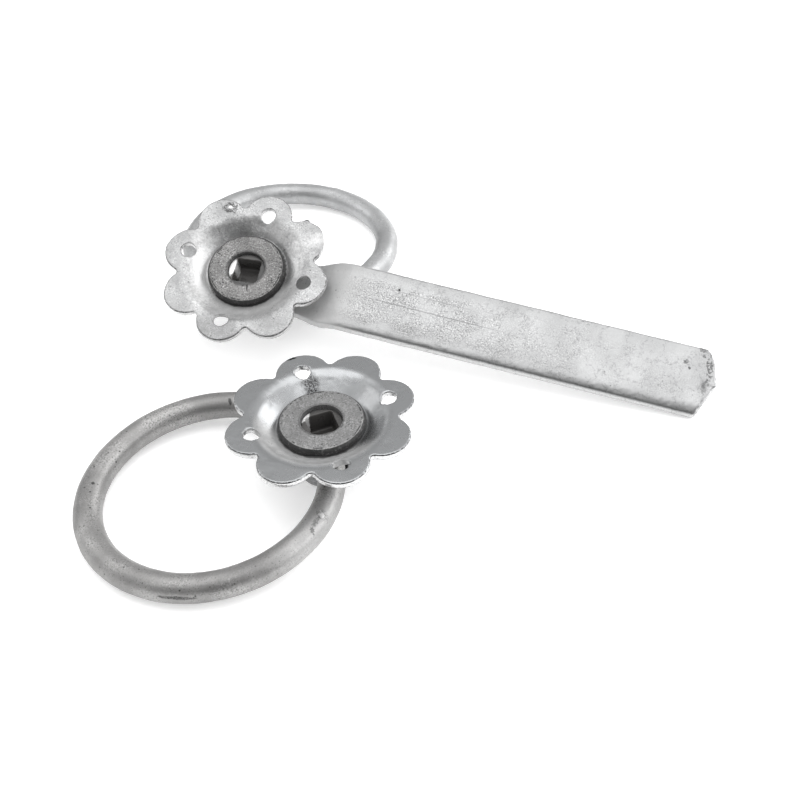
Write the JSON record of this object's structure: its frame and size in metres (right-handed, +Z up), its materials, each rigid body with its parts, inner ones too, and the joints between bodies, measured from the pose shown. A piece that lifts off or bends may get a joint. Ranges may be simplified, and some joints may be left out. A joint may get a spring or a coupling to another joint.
{
  "type": "ring-handled gate latch",
  "caption": "Galvanised gate latch: two ring handles in round bosses behind flower-shaped plates, one with a cranked flat latch bar, joined in use by a square spindle.",
  "frame": {"origin": "on the ground, under the middle of the box round both halves as they lie", "axes": "+Z up, +X to the right and +Y away from the viewer of the picture"},
  "size_m": [0.2338, 0.2418, 0.0467],
  "materials": {
    "zinc_pressed": "hot-dip galvanised, matt",
    "zinc_turned": "hot-dip galvanised, matt",
    "zinc_disc": "hot-dip galvanised, matt",
    "zinc_ring": "hot-dip galvanised, matt",
    "zinc_bar": "hot-dip galvanised, matt"
  },
  "bodies": {
    "rosettes": {"plain_rosette": "zinc_pressed", "bar_rosette": "zinc_pressed"},
    "plain_boss": {"plain_boss": "zinc_turned", "plain_retaining_disc": "zinc_disc"},
    "plain_ring": {"plain_ring": "zinc_ring"},
    "bar_boss": {"bar_boss": "zinc_turned", "bar_retaining_disc": "zinc_disc", "latch_bar": "zinc_bar"},
    "bar_ring": {"bar_ring": "zinc_ring"}
  },
  "joints": [
    {"name": "plain_turn", "type": "hinge", "parent": "rosettes", "child": "plain_boss", "pos_m": [-0.0306, -0.05749, 0.0275], "axis": [0, 0, 1], "range_deg": [-20, 70]},
    {"name": "plain_ring_swing", "type": "hinge", "parent": "plain_boss", "child": "plain_ring", "pos_m": [-0.0306, -0.05749, 0.0083], "axis": [0.3795, -0.9252, 0], "range_deg": [-12, 105]},
    {"name": "bar_turn", "type": "hinge", "parent": "rosettes", "child": "bar_boss", "pos_m": [-0.0691, 0.02271, 0.03307], "axis": [-0.0043, -0.4147, 0.91], "range_deg": [0, 90]},
    {"name": "bar_ring_swing", "type": "hinge", "parent": "bar_boss", "child": "bar_ring", "pos_m": [-0.06899, 0.03274, 0.01105], "axis": [-0.9644, 0.2422, 0.1058], "range_deg": [-37, 80]}
  ]
}
